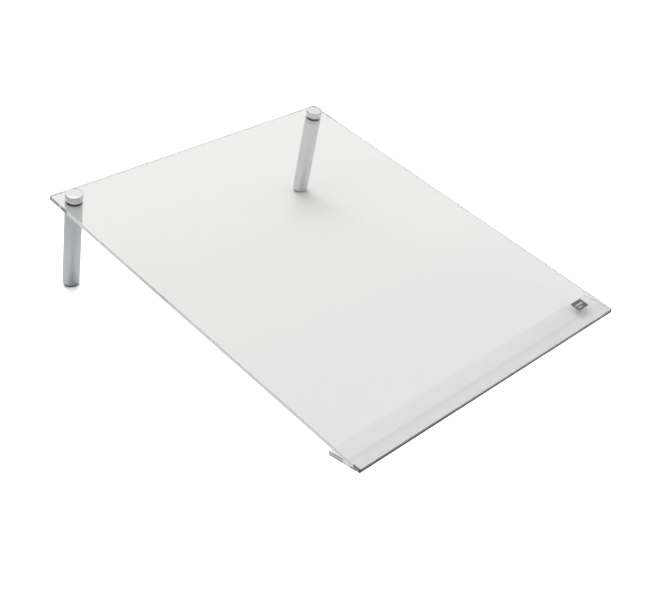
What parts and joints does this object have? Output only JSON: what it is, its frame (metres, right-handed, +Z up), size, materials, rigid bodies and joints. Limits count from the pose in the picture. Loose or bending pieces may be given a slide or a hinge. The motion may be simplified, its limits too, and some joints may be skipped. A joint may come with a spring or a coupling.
{
  "type": "sloped desktop memo board",
  "caption": "Clear acrylic desktop memo board that slopes up from a bonded front foot strip to turned aluminium standoff legs with rubber feet.",
  "frame": {"origin": "on the desk, under the middle of the object's box", "axes": "+Z up, +Y towards the raised rear edge, +X to the writer's right hand"},
  "size_m": [0.32, 0.3876, 0.1002],
  "materials": {
    "clear_acrylic": "clear cast acrylic sheet, polished faces and edges",
    "satin_aluminium": "turned, satin clear anodised",
    "clear_nylon": "translucent natural nylon",
    "black_rubber": "matt black rubber",
    "grey_rubber": "matt dark grey rubber",
    "zinc_steel": "zinc plated steel thread"
  },
  "bodies": {
    "root": {"board_sheet": "clear_acrylic", "front_foot_strip": "clear_acrylic", "cap_nut_left": "satin_aluminium", "cap_nut_right": "satin_aluminium", "clear_washer_left": "clear_nylon", "clear_washer_right": "clear_nylon", "black_washer_left": "black_rubber", "black_washer_right": "black_rubber", "leg_barrel_left": "satin_aluminium", "leg_barrel_right": "satin_aluminium", "threaded_stud_left": "zinc_steel", "threaded_stud_right": "zinc_steel", "rubber_foot_left": "grey_rubber", "rubber_foot_right": "grey_rubber"}
  },
  "joints": []
}
